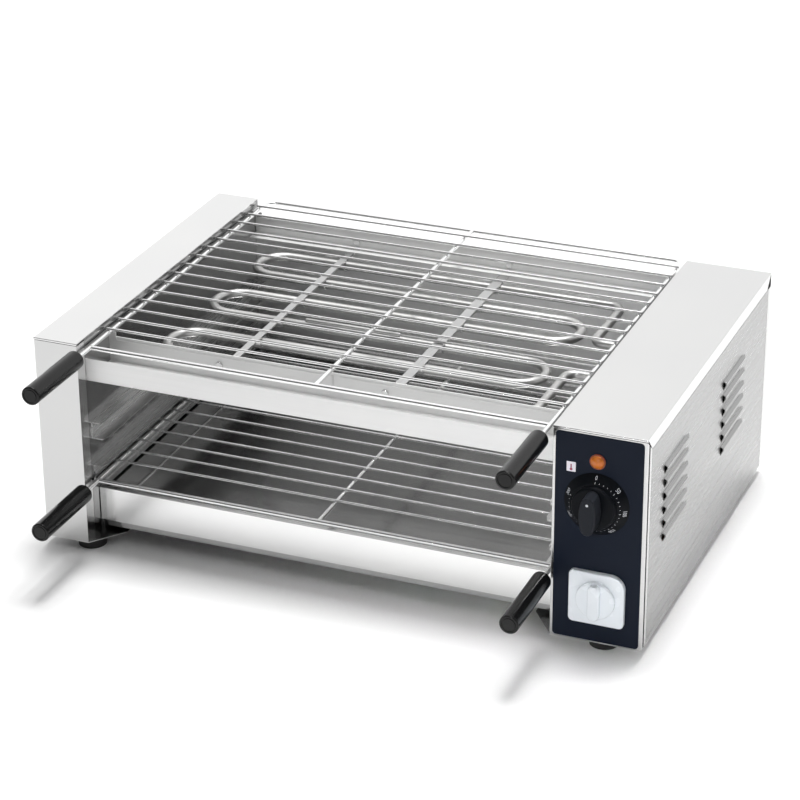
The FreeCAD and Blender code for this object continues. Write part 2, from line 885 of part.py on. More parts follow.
def tray_pan():
    """Shallow tray that catches the fat."""
    x0 = inner_left + tray_wall_inset
    x1 = inner_right - tray_wall_inset
    y0 = tray_front_setback + sheet
    y1 = rear_panel_y - tray_rear_gap
    outer = box(x0, x1, y0, y1, tray_bottom, tray_bottom + tray_wall_height)
    outer = rounded(outer, corner_radius * 2, lambda edge: edge_runs_along(edge, UP)
                    or (edge.BoundBox.ZMax < tray_bottom + 0.1))
    inner = box(x0 + sheet, x1 - sheet, y0 + sheet, y1 - sheet,
                tray_bottom + sheet, tray_bottom + tray_wall_height)
    inner = rounded(inner, corner_radius * 2 - sheet, lambda edge: edge_runs_along(edge, UP)
                    or (edge.BoundBox.ZMax < tray_bottom + sheet + 0.1))
    return outer.cut(inner)


def tray_front():
    """Front of the drip tray, with a hem turned back along its top."""
    x0 = inner_left + tray_side_gap
    x1 = inner_right - tray_side_gap
    top = tray_bottom + tray_front_height
    y = tray_front_setback
    face = box(x0, x1, y, y + sheet, tray_bottom, top)
    hem = box(x0, x1, y, y + tray_lip, top - sheet, top)
    return rounded(fused([face, hem]), fold_radius, lambda edge: edge_runs_along(edge, RIGHT)
                   and edge.BoundBox.YMax < y + 0.1 and edge.BoundBox.ZMin > top - 0.1)


# Controls

def bar_outline(y):
    """Outline of the knob's bar: two round ends joined by two slightly bowed sides."""
    half = bar_width / 2
    end_centre = bar_length / 2 - bar_end_radius
    bow = (half ** 2 + end_centre ** 2 - bar_end_radius ** 2) / (2 * (half - bar_end_radius))
    lean = math.atan2(end_centre, bow - half)
    join_x = bar_end_radius * math.cos(lean)
    join_z = end_centre + bar_end_radius * math.sin(lean)

    def arc(*places):
        return Part.Arc(*[Vector(dial_x + x, y, dial_level + z) for x, z in places]).toShape()

    return Part.Wire([
        arc((-join_x, join_z), (0, bar_length / 2), (join_x, join_z)),
        arc((join_x, join_z), (half, 0), (join_x, -join_z)),
        arc((join_x, -join_z), (0, -bar_length / 2), (-join_x, -join_z)),
        arc((-join_x, -join_z), (-half, 0), (-join_x, join_z)),
    ])


def thermostat_knob():
    """Dial knob: a flared skirt, a boss and a bar to turn it by."""
    def at(y):
        return Vector(dial_x, y, dial_level)

    base_y = overlay_front - running_gap
    skirt = cone(at(base_y), at(base_y - skirt_depth), skirt_radius, skirt_front_radius)
    hollow = rod(at(base_y), at(base_y - skirt_depth / 2), skirt_front_radius - skirt_wall)
    boss = rod(at(base_y - skirt_depth), at(base_y - boss_depth), boss_radius)
    boss = boss.makeFillet(boss_round, [edge for edge in boss.Edges
                                        if edge.BoundBox.YMax < base_y - boss_depth + 0.1])
    bar = Part.Face(bar_outline(base_y - knob_depth)).extrude(BACK * (knob_depth - skirt_depth))
    bar = rounded(bar, bar_round, lambda edge: edge.BoundBox.YMax < base_y - knob_depth + 0.1)
    knob = fused([skirt, boss, bar]).cut(hollow)
    bore = rod(at(base_y), at(base_y - knob_depth + bar_width / 2), shaft_radius)
    return knob.cut(bore)


def control_shaft(x, z, front, depth):
    """Shaft from a knob into the device behind the panel."""
    return rod(Vector(x, front, z), Vector(x, depth, z), shaft_radius)


def device_body(x, z, size, depth, collar_front):
    """Body of a device behind the panel, with a collar through it and a bore for its shaft."""
    body = box(x - size / 2, x + size / 2, sheet, sheet + depth, z - size / 2, z + size / 2)
    body = rounded(body, 1.5, lambda edge: edge_runs_along(edge, BACK))
    collar = rod(Vector(x, collar_front, z), Vector(x, sheet + 1, z), collar_radius)
    bore = rod(Vector(x, collar_front, z), Vector(x, sheet + depth * 0.8, z),
               shaft_radius + shaft_clearance)
    return fused([body, collar]).cut(bore)


def selector_plate():
    """White plate of the on and off switch, with one corner rounded off."""
    x0 = selector_x - plate_width / 2
    x1 = selector_x + plate_width / 2
    z0 = selector_level - plate_height / 2
    z1 = selector_level + plate_height / 2
    plate = box(x0, x1, overlay_front - plate_thickness, overlay_front, z0, z1)

    def is_big(edge):
        return edge.CenterOfMass.x > selector_x and edge.CenterOfMass.z > selector_level

    plate = rounded(plate, plate_radius, lambda edge: edge_runs_along(edge, BACK)
                    and not is_big(edge))
    plate = rounded(plate, plate_big_radius, lambda edge: edge_runs_along(edge, BACK)
                    and is_big(edge) and edge.Vertexes[0].Point.x > x1 - 0.1)
    plate = rounded(plate, 1.2, lambda edge:
                    edge.BoundBox.YMax < overlay_front - plate_thickness + 0.1)
    return plate.cut(panel_hole(selector_x, selector_level, collar_radius + collar_clearance))


def selector_knob():
    """White knob of the on and off switch: a low disc with a bar across it."""
    face = overlay_front - plate_thickness - running_gap
    front = face - selector_depth

    def at(y):
        return Vector(selector_x, y, selector_level)

    disc = rod(at(face), at(face - selector_rim), selector_radius)
    disc = disc.makeFillet(1.5, [edge for edge in disc.Edges
                                 if edge.BoundBox.YMax < face - selector_rim + 0.1])
    half = selector_bar_width / 2
    reach = selector_radius - 1.0
    bar = box(selector_x - half, selector_x + half, front, face,
              selector_level - reach, selector_level + reach)
    bar = rounded(bar, half * 0.9, lambda edge: edge_runs_along(edge, BACK))
    bar = rounded(bar, 1.5, lambda edge: edge.BoundBox.YMax < front + 0.1)
    bore = rod(at(face), at(front + 2.0), shaft_radius)
    return fused([disc, bar]).cut(bore)


def lamp_lens():
    """Orange lens of the heating lamp: a rim and a dome."""
    rim_front = overlay_front - lens_flange
    ball_radius = (lens_radius ** 2 + lens_depth ** 2) / (2 * lens_depth)
    rim = rod(Vector(dial_x, overlay_front, lamp_level), Vector(dial_x, rim_front, lamp_level),
              lens_flange_radius)
    ball = Part.makeSphere(ball_radius, Vector(dial_x, rim_front - lens_depth + ball_radius,
                                               lamp_level))
    front = box(dial_x - ball_radius, dial_x + ball_radius, rim_front - lens_depth * 2,
                rim_front, lamp_level - ball_radius, lamp_level + ball_radius)
    return fused([rim, ball.common(front)])


def lamp_body():
    """Lamp holder behind the lens."""
    neck = rod(Vector(dial_x, overlay_front, lamp_level),
               Vector(dial_x, lamp_body_length, lamp_level), collar_radius)
    lugs = [box(dial_x + side * 2.5 - 0.4, dial_x + side * 2.5 + 0.4, lamp_body_length,
                lamp_body_length + 6, lamp_level - 2, lamp_level + 2) for side in (-1, 1)]
    return fused([neck] + lugs)


def panel_nuts():
    """Nut on the thermostat's collar before the panel and on the lamp behind it."""
    return group([
        hex_ring(Vector(dial_x, overlay_front, dial_level), BACK * -1, nut_across, nut_thickness,
                 collar_radius),
        hex_ring(Vector(dial_x, sheet, lamp_level), BACK, nut_across, nut_thickness,
                 collar_radius),
    ])


# Wiring inside the control box

block_x = dial_x
block_y = body_depth - block_setback


def terminal_block():
    """Block on the base that the supply and the inner wires are screwed into."""
    block = box(block_x - block_width / 2, block_x + block_width / 2,
                block_y - block_length / 2, block_y + block_length / 2,
                sheet, sheet + block_height)
    for step in (-1, 0, 1):
        top = Vector(block_x, block_y + step * block_length / 3, sheet + block_height)
        block = block.cut(rod(top, top.sub(UP * block_height / 3), cable_radius * 2))
    return block


def earth_stud():
    """Earth stud with its nut, on the base of the control box."""
    foot = Vector(block_x, block_y - block_length, sheet)
    stud = rod(foot, foot.add(UP * block_height), screw_radius)
    nut = hex_ring(foot, UP, nut_across * 0.7, washer_nut, screw_radius)
    return group([stud, nut])


def inner_wires():
    """Insulated wires between the block, the switch, the thermostat, the lamp and the heater."""
    switch_back = sheet + switch_depth
    dial_back = sheet + thermostat_depth
    block_front = block_y - block_length / 2
    pin_x = inner_right + sheet + terminal_reach + pin_length
    low = sheet + block_height / 2
    lane = cable_radius * 4
    drop_x = body_width - joint_return
    wires = [
        [Vector(block_x - lane, block_front, low),
         Vector(block_x - lane, switch_back + lane * 6, low),
         Vector(block_x - lane, switch_back + lane * 6, selector_level),
         Vector(block_x - lane, switch_back, selector_level)],
        [Vector(selector_x + lane, switch_back, selector_level),
         Vector(selector_x + lane, switch_back + lane * 3, selector_level),
         Vector(selector_x + lane, switch_back + lane * 3, dial_level),
         Vector(selector_x + lane, dial_back, dial_level)],
        [Vector(dial_x, dial_back, dial_level + lane),
         Vector(dial_x, terminal_ys[0], dial_level + lane),
         Vector(pin_x + lane * 2, terminal_ys[0], dial_level + lane),
         Vector(pin_x + lane * 2, terminal_ys[0], heater_level),
         Vector(pin_x, terminal_ys[0], heater_level)],
        [Vector(block_x + lane, block_front, low),
         Vector(block_x + lane, terminal_ys[1], low),
         Vector(drop_x - lane * 2, terminal_ys[1], low),
         Vector(drop_x - lane * 2, terminal_ys[1], heater_level),
         Vector(pin_x, terminal_ys[1], heater_level)],
        [Vector(dial_x - lane, dial_back, dial_level + lane * 2),
         Vector(dial_x - lane, dial_back + lane * 3, dial_level + lane * 2),
         Vector(dial_x - lane, dial_back + lane * 3, lamp_level),
         Vector(dial_x - lane, lamp_body_length + 6, lamp_level)],
    ]
    return group([tube(points, cable_radius, cable_bend * 0.75) for points in wires])


def cable_gland():
    """Gland in the back cover that a supply cord would pass through."""
    def at(y):
        return Vector(dial_x, y, gland_level)

    thread = rod(at(body_depth - sheet - gland_inside), at(body_depth), gland_thread_radius)
    flange = hex_ring(at(body_depth), BACK, gland_flange_radius * 2, gland_flange,
                      gland_bore_radius)
    nose = cone(at(body_depth + gland_flange), at(body_depth + gland_flange + gland_nose),
                gland_nose_radius, gland_nose_radius - 2.0)
    bore = rod(at(body_depth - sheet - gland_inside), at(body_depth + gland_flange + gland_nose),
               gland_bore_radius)
    return fused([thread, flange, nose]).cut(bore)


# Feet

def foot(point):
    """Rubber foot with a recess for its screw."""
    floor = point.sub(UP * foot_height)
    body = cone(floor, point, foot_radius - foot_taper, foot_radius)
    recess = rod(floor, floor.add(UP * foot_height / 2), screw_head_radius + 1.0)
    bore = rod(floor, point, screw_radius + screw_clearance)
    return body.cut(recess).cut(bore)


def foot_screws():
    """Screws up through the feet and the base, with a nut on each."""
    solids = []
    for point in foot_points():
        seat = point.sub(UP * foot_height / 2)
        head = rod(seat, seat.sub(UP * screw_head), screw_head_radius)
        shank = rod(seat, point.add(UP * screw_length), screw_radius)
        solids.append(head.fuse(shank).removeSplitter())
        solids.append(hex_ring(point.add(UP * sheet), UP, washer_nut_across, washer_nut,
                               screw_radius))
    return group(solids)


def mirrored(shape):
    """The same shape on the other side of the middle of the racks."""
    return shape.mirror(Vector(middle_x, 0, 0), RIGHT)


def build():
    """Makes every piece under its node's name."""
    pieces["left_box_shell"] = left_shell()
    pieces["left_box_wall"] = left_wall()
    pieces["left_box_cover"] = top_cover(0, left_width, 0)
    pieces["left_base_plate"] = base_plate(0, left_width, 1)
    pieces["control_front_panel"] = control_panel()
    pieces["control_overlay"] = control_overlay()
    pieces["control_box_wall"] = control_wall()
    pieces["control_side_panel"] = side_panel()
    pieces["control_back_cover"] = back_cover()
    pieces["control_box_cover"] = top_cover(inner_right, body_width, body_width - sheet)
    pieces["right_base_plate"] = base_plate(inner_right, body_width, -1)
    pieces["front_beam"] = front_beam()
    pieces["rear_panel"] = rear_panel()
    pieces["front_shelf_angle"] = shelf_angle(beam_back + sheet, 1)
    pieces["rear_shelf_angle"] = shelf_angle(rear_panel_y, -1)
    pieces["pan_head_screws"] = pan_head_screws()
    pieces["floor_panel"] = floor_panel()
    lower_rail = rail(inner_left, 1, lower_rail_level, lower_rail_height)
    middle_rail = rail(inner_left, 1, middle_rail_level, middle_rail_height)
    pieces["lower_rail_left"] = lower_rail
    pieces["lower_rail_right"] = mirrored(lower_rail)
    pieces["middle_rail_left"] = middle_rail
    pieces["middle_rail_right"] = mirrored(middle_rail)
    pieces["heating_element"] = heating_element()
    for name, (x, width) in zip(("left", "right"), strap_places):
        pieces["heater_strap_" + name] = strap(x, width)
    pieces["heater_clips"] = heater_clips()
    pieces["heater_glands"] = heater_glands()
    pieces["heater_pins"] = heater_pins()
    pieces["heater_insulators"] = heater_insulators()
    pieces["thermostat_bulb"] = sensor_bulb()
    pieces["thermostat_capillary"] = capillary()
    upper = (upper_rod_level, upper_rack_rear, upper_right_rod_x)
    lower = (lower_rod_level, lower_rack_rear, right_rod_x)
    for rack, (level, rear_y, right_x) in (("upper", upper), ("lower", lower)):
        pieces[rack + "_rack_frame"] = rack_frame(level, rear_y, right_x)
        pieces[rack + "_rack_wires"] = rack_wires(level, rear_y, right_x)
        for side, x in (("left", left_rod_x), ("right", right_x)):
            pieces[rack + "_" + side + "_grip"] = grip(x, level)
    pieces["drip_tray_pan"] = tray_pan()
    pieces["drip_tray_front"] = tray_front()
    pieces["thermostat_knob"] = thermostat_knob()
    collar_front = overlay_front - nut_thickness - 0.3
    dial_shaft_front = overlay_front - running_gap - knob_depth + bar_width / 2
    pieces["thermostat_shaft"] = control_shaft(dial_x, dial_level, dial_shaft_front,
                                               thermostat_depth * 0.7)
    pieces["thermostat_body"] = device_body(dial_x, dial_level, thermostat_size,
                                            thermostat_depth, collar_front)
    pieces["panel_nuts"] = panel_nuts()
    pieces["selector_plate"] = selector_plate()
    pieces["selector_knob"] = selector_knob()
    selector_front = overlay_front - plate_thickness - running_gap - selector_depth + 2.0
    pieces["selector_shaft"] = control_shaft(selector_x, selector_level, selector_front,
                                             switch_depth * 0.7)
    pieces["selector_switch_body"] = device_body(selector_x, selector_level, switch_size,
                                                 switch_depth, overlay_front - plate_thickness)
    pieces["lamp_lens"] = lamp_lens()
    pieces["lamp_body"] = lamp_body()
    pieces["terminal_block"] = terminal_block()
    pieces["earth_stud"] = earth_stud()
    pieces["inner_wires"] = inner_wires()
    pieces["cable_gland"] = cable_gland()
    pieces["gland_locknut"] = hex_ring(Vector(dial_x, body_depth - sheet, gland_level), BACK * -1,
                                       gland_flange_radius * 1.9, gland_flange,
                                       gland_thread_radius)
    names = ("front_left_foot", "rear_left_foot", "front_right_foot", "rear_right_foot")
    for name, point in zip(names, foot_points()):
        pieces[name] = foot(point)
    pieces["foot_screws"] = foot_screws()


def export():
    """Moves every piece to the finished origin and writes it."""
    os.makedirs("parts", exist_ok=True)
    for name, shape in pieces.items():
        shape.translate(ORIGIN_SHIFT)
        shape.exportStep("parts/" + name + ".step")
        state = "valid" if shape.isValid() else "NOT VALID"
        print(name, state, "solids", len(shape.Solids), "volume", round(shape.Volume, 1))
    print("nodes", len(pieces))


build()
export()
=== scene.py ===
import math

import bmesh
import bpy
from mathutils import Matrix, Vector


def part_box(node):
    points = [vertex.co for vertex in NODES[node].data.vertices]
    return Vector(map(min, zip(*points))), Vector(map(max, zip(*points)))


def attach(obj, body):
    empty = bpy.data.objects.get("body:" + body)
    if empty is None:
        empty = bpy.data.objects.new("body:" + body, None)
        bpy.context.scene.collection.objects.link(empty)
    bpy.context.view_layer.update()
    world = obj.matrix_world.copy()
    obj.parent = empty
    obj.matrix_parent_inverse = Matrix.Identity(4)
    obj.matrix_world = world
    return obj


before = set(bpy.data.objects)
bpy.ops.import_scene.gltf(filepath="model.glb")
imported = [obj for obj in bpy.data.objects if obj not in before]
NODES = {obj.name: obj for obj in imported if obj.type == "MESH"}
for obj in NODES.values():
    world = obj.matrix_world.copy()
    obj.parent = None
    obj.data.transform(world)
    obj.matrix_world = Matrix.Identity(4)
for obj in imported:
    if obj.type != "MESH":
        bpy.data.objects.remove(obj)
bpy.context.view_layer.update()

MM = 0.001

# Sizes of what the CAD nodes don't carry
SKIRT_DEPTH = 8.5 * MM
SKIRT_FRONT_RADIUS = 24.5 * MM
BOSS_DEPTH = 12.5 * MM
LENS_FLANGE = 1.4 * MM
DIAL_STEPS = 6
DIAL_STEP_VALUE = 50
DIAL_SWEEP = math.radians(290)
MARKS_PER_STEP = 5
MARK_RADIUS = 25.9 * MM
FIGURE_RADIUS = 28.2 * MM
FIGURE_SIZE = 4.6 * MM
PRINT_LIFT = 0.06 * MM
MARK_WIDTH = 0.4 * MM
LONG_MARK = 1.5 * MM
SHORT_MARK = 0.9 * MM
POINTER_RISE = 13.0 * MM
POINTER_RADIUS = 1.5 * MM
POINTER_THICKNESS = 0.5 * MM
BADGE_ACROSS = -26.8 * MM
BADGE_BELOW = -10.0 * MM
BADGE_WIDTH = 9.2 * MM
BADGE_HEIGHT = 10.4 * MM
BADGE_THICKNESS = 0.15 * MM
BADGE_CORNER = 0.5 * MM
STEM_LENGTH = 6.0 * MM
BULB_DROP = 2.6 * MM
INK_THICKNESS = 0.05 * MM

# Photograph's camera: its angles in degrees, its place in metres, its focal length in pixels
PHOTO_PIXELS = 800.0
FOCAL_PIXELS = 2740.5
SENSOR_WIDTH = 36.0
CAMERA_AZIMUTH = 22.39
CAMERA_ELEVATION = 25.443
CAMERA_ROLL = -0.442
CAMERA_PLACE = (0.9948, -2.4102, 1.3875)

# Studio: strengths of the surround in front, behind and overhead, and the two softboxes
FRONT_STRENGTH = 0.08
REAR_STRENGTH = 1.10
LEFT_LIFT = 1.12
TOP_FRONT_STRENGTH = 0.20
TOP_STRENGTH = 0.95
FLOOR_HALF_SIZE = 30.0
FLOOR_GREY = 0.93
OVERHEAD_PLACE = (0, 1.0, 6.5)
OVERHEAD_SIZE = 1.8
OVERHEAD_POWER = 330
FILL_PLACE = (0.6, -3.4, 2.0)
FILL_TARGET = (0.285, -0.18, 0.11)
FILL_SIZE = 0.5
FILL_POWER = 0.35
FILL_SPREAD = 12


# Places taken from the CAD nodes

overlay_low, overlay_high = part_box("control_overlay")
knob_low, knob_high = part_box("thermostat_knob")
plate_low, plate_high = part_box("selector_plate")
selector_low, selector_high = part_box("selector_knob")
lens_low, lens_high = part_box("lamp_lens")
dial_centre = (knob_low + knob_high) / 2
selector_centre = (selector_low + selector_high) / 2
lens_centre = (lens_low + lens_high) / 2


# Node helpers

def new_material(name):
    """A material with its tree and its Principled shader."""
    material = bpy.data.materials.new(name)
    material.use_nodes = True
    tree = material.node_tree
    return material, tree, tree.nodes["Principled BSDF"]


def place_nodes(tree):
    """Spreads the nodes out so that they can be read in the editor."""
    for index, node in enumerate(tree.nodes):
        node.location = (-260 * (index // 4), -220 * (index % 4))


def stretched(tree, scale, turn=(0, 0, 0)):
    """Object coordinates stretched by a scale."""
    coordinates = tree.nodes.new("ShaderNodeTexCoord")
    mapping = tree.nodes.new("ShaderNodeMapping")
    mapping.inputs["Scale"].default_value = scale
    mapping.inputs["Rotation"].default_value = turn
    tree.links.new(coordinates.outputs["Object"], mapping.inputs["Vector"])
    return mapping.outputs["Vector"]


def noise(tree, vector, scale, detail=2.0, roughness=0.5):
    """Noise over a vector."""
    texture = tree.nodes.new("ShaderNodeTexNoise")
    texture.inputs["Scale"].default_value = scale
    texture.inputs["Detail"].default_value = detail
    texture.inputs["Roughness"].default_value = roughness
    tree.links.new(vector, texture.inputs["Vector"])
    return texture.outputs["Fac"]


def spread(tree, value, low, high, from_low=0.3, from_high=0.7):
    """Carries a value from one range to another."""
    node = tree.nodes.new("ShaderNodeMapRange")
    node.inputs["From Min"].default_value = from_low
    node.inputs["From Max"].default_value = from_high
    node.inputs["To Min"].default_value = low
    node.inputs["To Max"].default_value = high
    tree.links.new(value, node.inputs["Value"])
    return node.outputs["Result"]


def blend_colours(tree, factor, first, second):
    """Mixes two colours by a factor."""
    node = tree.nodes.new("ShaderNodeMix")
    node.data_type = "RGBA"
    node.inputs["A"].default_value = (*first, 1)
    node.inputs["B"].default_value = (*second, 1)
    tree.links.new(factor, node.inputs["Factor"])
    return node.outputs["Result"]


def bump(tree, height, strength, distance):
    """Bump from a height."""
    node = tree.nodes.new("ShaderNodeBump")
    node.inputs["Strength"].default_value = strength
    node.inputs["Distance"].default_value = distance
    tree.links.new(height, node.inputs["Height"])
    return node.outputs["Normal"]


# Finishes

BRUSH_ALONG = {"x": (3.0, 500.0, 500.0), "y": (500.0, 3.0, 500.0), "z": (500.0, 500.0, 3.0)}


def brushed_steel(name, along, shade=0.64, low_rough=0.18, high_rough=0.24, strength=0.010):
    """Stainless sheet with fine brushing along one axis."""
    material, tree, shader = new_material(name)
    streaks = noise(tree, stretched(tree, BRUSH_ALONG[along]), 1.0, 3.0, 0.6)
    clouds = noise(tree, stretched(tree, (1, 1, 1)), 7.0, 3.0, 0.5)
    tone = spread(tree, clouds, 0.0, 1.0)
    bright = (shade, shade, shade * 0.992)
    deep = (shade * 0.97, shade * 0.97, shade * 0.97)
    tree.links.new(blend_colours(tree, tone, deep, bright), shader.inputs["Base Color"])
    tree.links.new(spread(tree, streaks, low_rough, high_rough), shader.inputs["Roughness"])
    tree.links.new(bump(tree, streaks, strength, 0.0002), shader.inputs["Normal"])
    shader.inputs["Metallic"].default_value = 1.0
    place_nodes(tree)
    return material


def polished_wire(name, shade=0.95):
    """Chromed wire, bright with a faint waviness from drawing."""
    material, tree, shader = new_material(name)
    waves = noise(tree, stretched(tree, (1, 1, 1)), 160.0, 2.0)
    tree.links.new(spread(tree, waves, 0.16, 0.26), shader.inputs["Roughness"])
    tree.links.new(bump(tree, waves, 0.06, 0.0003), shader.inputs["Normal"])
    tone = noise(tree, stretched(tree, (1, 1, 1)), 20.0, 2.0)
    tree.links.new(blend_colours(tree, tone, (shade * 0.94,) * 3, (shade,) * 3),
                   shader.inputs["Base Color"])
    shader.inputs["Metallic"].default_value = 1.0
    place_nodes(tree)
    return material


def tube_steel():
    """Heater tube: satin steel, a little dulled in patches where it has been hot."""
    material, tree, shader = new_material("heater tube steel")
    patches = noise(tree, stretched(tree, (1, 1, 1)), 16.0, 4.0, 0.6)
    grain = noise(tree, stretched(tree, (1, 1, 1)), 900.0, 2.0)
    tone = spread(tree, patches, 0.0, 1.0)
    tree.links.new(blend_colours(tree, tone, (0.46, 0.458, 0.452), (0.60, 0.597, 0.59)),
                   shader.inputs["Base Color"])
    tree.links.new(spread(tree, patches, 0.30, 0.44), shader.inputs["Roughness"])
    tree.links.new(bump(tree, grain, 0.12, 0.0002), shader.inputs["Normal"])
    shader.inputs["Metallic"].default_value = 1.0
    place_nodes(tree)
    return material


def in_front_of(tree, depth, soft):
    """One where the surface lies before a depth, nought behind it."""
    coordinates = tree.nodes.new("ShaderNodeTexCoord")
    split = tree.nodes.new("ShaderNodeSeparateXYZ")
    tree.links.new(coordinates.outputs["Object"], split.inputs["Vector"])
    return spread(tree, split.outputs["Y"], 1.0, 0.0, depth - soft, depth + soft)


def moulded(name, colour, low_rough, high_rough, grain_size=700.0, strength=0.06,
            gloss=0.5, front_colour=None, front_depth=0.0):
    """Moulded plastic or resin with a faint skin, and its own colour before a given depth."""
    material, tree, shader = new_material(name)
    grain = noise(tree, stretched(tree, (1, 1, 1)), grain_size, 2.0)
    clouds = noise(tree, stretched(tree, (1, 1, 1)), 30.0, 2.0)
    deep = tuple(value * 0.85 for value in colour)
    body = blend_colours(tree, clouds, deep, colour)
    if front_colour:
        mix = tree.nodes.new("ShaderNodeMix")
        mix.data_type = "RGBA"
        tree.links.new(in_front_of(tree, front_depth, 0.1 * MM), mix.inputs["Factor"])
        tree.links.new(body, mix.inputs["A"])
        mix.inputs["B"].default_value = (*front_colour, 1)
        body = mix.outputs["Result"]
    tree.links.new(body, shader.inputs["Base Color"])
    tree.links.new(spread(tree, clouds, low_rough, high_rough), shader.inputs["Roughness"])
    tree.links.new(bump(tree, grain, strength, 0.0002), shader.inputs["Normal"])
    shader.inputs["Specular IOR Level"].default_value = gloss
    place_nodes(tree)
    return material


def lamp_plastic(rim_front):
    """Orange lens with a darker rim, which glows a little where light gathers in it."""
    material, tree, shader = new_material("orange lens plastic")
    clouds = noise(tree, stretched(tree, (1, 1, 1)), 120.0, 2.0)
    dome = blend_colours(tree, clouds, (0.50, 0.12, 0.010), (0.62, 0.18, 0.020))
    mix = tree.nodes.new("ShaderNodeMix")
    mix.data_type = "RGBA"
    mix.inputs["A"].default_value = (0.22, 0.035, 0.008, 1)
    tree.links.new(in_front_of(tree, rim_front - 0.4 * MM, 0.5 * MM), mix.inputs["Factor"])
    tree.links.new(dome, mix.inputs["B"])
    tree.links.new(mix.outputs["Result"], shader.inputs["Base Color"])
    tree.links.new(spread(tree, clouds, 0.12, 0.18), shader.inputs["Roughness"])
    shader.inputs["Subsurface Weight"].default_value = 0.25
    shader.inputs["Subsurface Radius"].default_value = (0.004, 0.0015, 0.0005)
    place_nodes(tree)
    return material


STEEL_X = brushed_steel("stainless sheet brushed across", "x")
# Covers and base plates: a lighter copy of the stainless, painted lighter so the tops read
# bright.
LIT_STEEL_Y = brushed_steel("stainless sheet painted lighter, brushed front to back", "y", 0.72)
# Left box shell: a darker copy of the stainless, painted shade on its front face.
SHADED_STEEL_Z = brushed_steel("stainless sheet painted darker, brushed upright", "z", 0.58)
# Side panel: a much darker copy of the stainless, painted shade on this side of the body.
SHADED_SIDE_STEEL = brushed_steel("stainless side brushed front to back", "y", 0.36, 0.24, 0.32)
# Beam and shelf angles: the satin rub gives the roughness; the lighter colour is painted light.
LIT_SATIN_STEEL = brushed_steel("stainless sheet with a satin rub, painted lighter", "x", 0.86, 0.54, 0.64, 0.02)
# Tray front: a lighter copy of the stainless, painted light.
LIT_TRAY_STEEL = brushed_steel("stainless tray front painted light, brushed across", "x", 0.92)
# Back panel: a lighter copy of the stainless, painted light on the inner back.
LIT_REAR_STEEL = brushed_steel("stainless back painted light, brushed across", "x", 0.92, 0.32, 0.42, 0.02)
# Drip tray pan: the bright annealed smoothness is real; the dark colour is painted interior
# shade.
SHADED_MIRROR_STEEL = brushed_steel("stainless bright annealed, painted dark for interior shade", "x", 0.48, 0.16, 0.24, 0.008)
# Inner walls: a dark copy of the stainless, painted interior shade.
SHADED_WALL_STEEL = brushed_steel("stainless wall painted dark for interior shade", "y", 0.34, 0.14, 0.22, 0.01)
RAIL_STEEL = brushed_steel("rail steel", "y", 0.62, 0.24, 0.32, 0.02)
WIRE = polished_wire("chromed wire")
TUBE = tube_steel()
STRAP_STEEL = brushed_steel("strap steel", "y", 0.60, 0.26, 0.34, 0.02)
SCREW_STEEL = brushed_steel("plated screw steel", "z", 0.74, 0.18, 0.26, 0.02)
CAPILLARY = brushed_steel("drawn capillary steel", "x", 0.55, 0.26, 0.34, 0.02)
GRIP = moulded("black grip resin", (0.006, 0.006, 0.006), 0.16, 0.24, 500.0, 0.04, 0.28)
KNOB = moulded("black knob resin", (0.004, 0.005, 0.007), 0.30, 0.40, 900.0, 0.08, 0.08,
               (0.018, 0.020, 0.025), knob_high.y - BOSS_DEPTH - 1.0 * MM)
NAVY = moulded("navy panel film", (0.007, 0.011, 0.022), 0.34, 0.44, 1400.0, 0.06, 0.10)
WHITE = moulded("white switch plastic", (0.91, 0.955, 1.0), 0.22, 0.30, 900.0, 0.02)
BADGE = moulded("white badge film", (0.92, 0.88, 0.95), 0.40, 0.50)
PRINT = moulded("white print", (0.72, 0.74, 0.78), 0.50, 0.60)
RED_PRINT = moulded("red print", (0.40, 0.02, 0.06), 0.50, 0.60)
GREY_PRINT = moulded("grey print", (0.42, 0.36, 0.44), 0.50, 0.60)
LENS = lamp_plastic(lens_high.y - LENS_FLANGE)
DEVICE = moulded("matt black plastic", (0.030, 0.030, 0.032), 0.45, 0.60)
SILICONE = moulded("red silicone", (0.48, 0.05, 0.04), 0.40, 0.50)
CERAMIC = moulded("cream ceramic", (0.80, 0.76, 0.68), 0.45, 0.60)
RUBBER = moulded("black rubber", (0.016, 0.016, 0.016), 0.55, 0.70, 500.0, 0.15)

